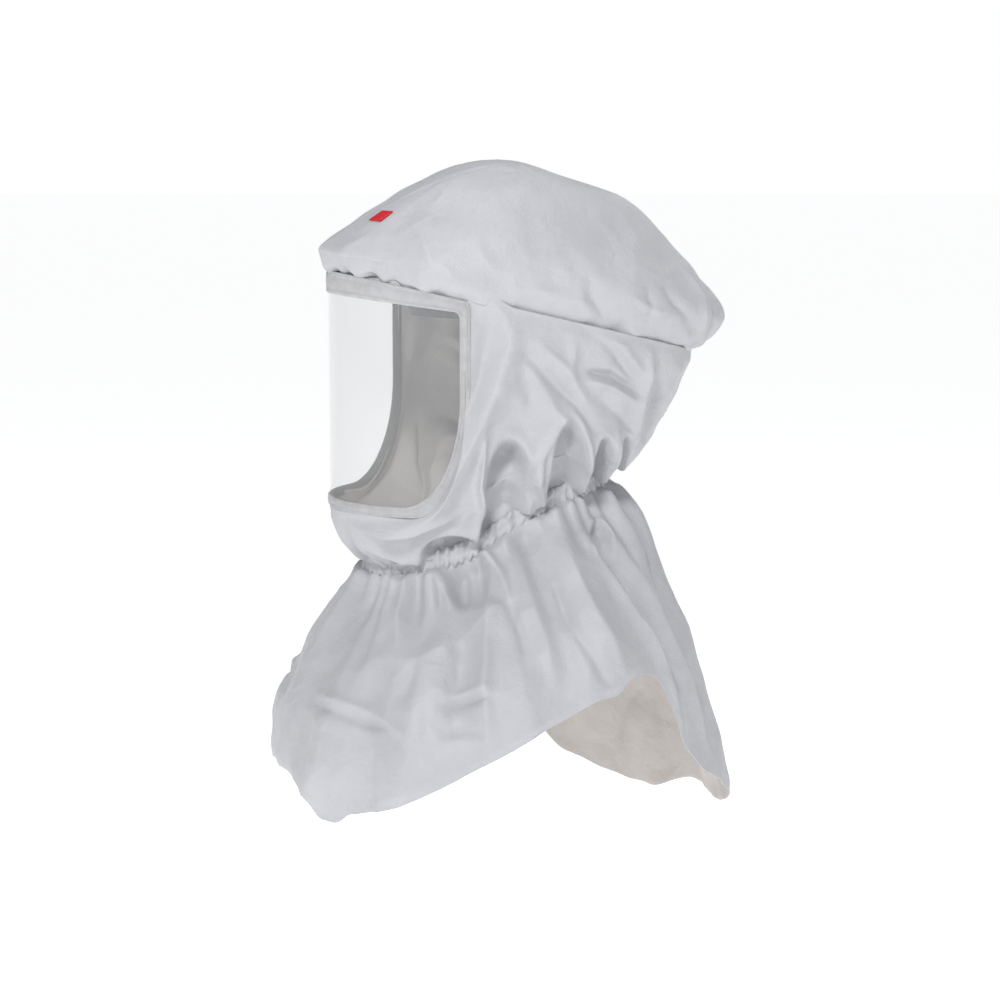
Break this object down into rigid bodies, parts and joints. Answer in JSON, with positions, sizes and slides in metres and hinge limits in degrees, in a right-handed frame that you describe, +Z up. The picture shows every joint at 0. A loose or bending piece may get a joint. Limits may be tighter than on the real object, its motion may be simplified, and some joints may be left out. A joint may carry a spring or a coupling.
{
  "type": "powered air respirator head top",
  "caption": "Loose white respirator hood with a wrap-round clear visor, elastic neck, shoulder cape and an inner ratchet head harness with an air duct.",
  "frame": {"origin": "centre of the head ring, on the wearer's mid line, level with the mid forehead", "axes": "+Z up, the wearer faces -Y, +X is the wearer's left"},
  "size_m": [0.3988, 0.4107, 0.572],
  "materials": {
    "hood_fabric": "coated nonwoven, slight sheen",
    "seam_tape": "woven binding tape",
    "elastic": "ribbed elastic",
    "lens": "clear thin plastic sheet",
    "tab": "satin",
    "harness": "fine texture",
    "duct": "fine texture",
    "foam": "foam-backed knit",
    "knob": "ribbed",
    "slider": "satin",
    "seal": "matt",
    "bow": "satin"
  },
  "bodies": {
    "hood": {"crown_panel": "hood_fabric", "side_panel_left": "hood_fabric", "side_panel_right": "hood_fabric", "cape_left": "hood_fabric", "cape_right": "hood_fabric", "neck_casing": "hood_fabric", "crown_seam_piping": "seam_tape", "crown_tab": "tab", "neck_elastic": "elastic", "port_elastic": "elastic", "visor_lens": "lens", "visor_edge_tape": "seam_tape", "visor_bow": "bow", "bow_strut_left": "bow", "bow_strut_right": "bow", "front_headband": "harness", "size_guide_left": "harness", "size_guide_right": "harness", "brow_pad": "foam", "crown_pad": "foam", "crown_strap_cross": "harness", "crown_strap_long": "harness", "strap_pegs": "knob", "duct_lower_shell": "duct", "duct_upper_shell": "duct", "duct_mount": "duct", "outlet_manifold": "duct", "outlet_grille": "duct", "rear_plenum": "duct", "inlet_socket": "duct", "inlet_seal": "seal"},
    "rear_band": {"rear_headband": "harness", "nape_pad": "foam", "ratchet_housing": "harness", "ratchet_cover": "harness"},
    "knob": {"ratchet_knob": "knob", "ratchet_pinion": "knob"},
    "slider_left": {"airflow_slider_left": "slider"},
    "slider_right": {"airflow_slider_right": "slider"}
  },
  "joints": [
    {"name": "headband_size", "type": "slide", "parent": "hood", "child": "rear_band", "axis": [0, 1, 0], "range_m": [-0.008, 0.008]},
    {"name": "ratchet_turn", "type": "hinge", "parent": "rear_band", "child": "knob", "pos_m": [0, 0.113, -0.018], "axis": [0, 1, 0], "range_deg": [-80, 80]},
    {"name": "airflow_left", "type": "slide", "parent": "hood", "child": "slider_left", "axis": [-1, 0, 0], "range_m": [0, 0.014]},
    {"name": "airflow_right", "type": "slide", "parent": "hood", "child": "slider_right", "axis": [1, 0, 0], "range_m": [0, 0.014]}
  ],
  "couplings": [
    {"joint": "ratchet_turn", "follows": "headband_size", "rad_per_m": 172.35}
  ]
}
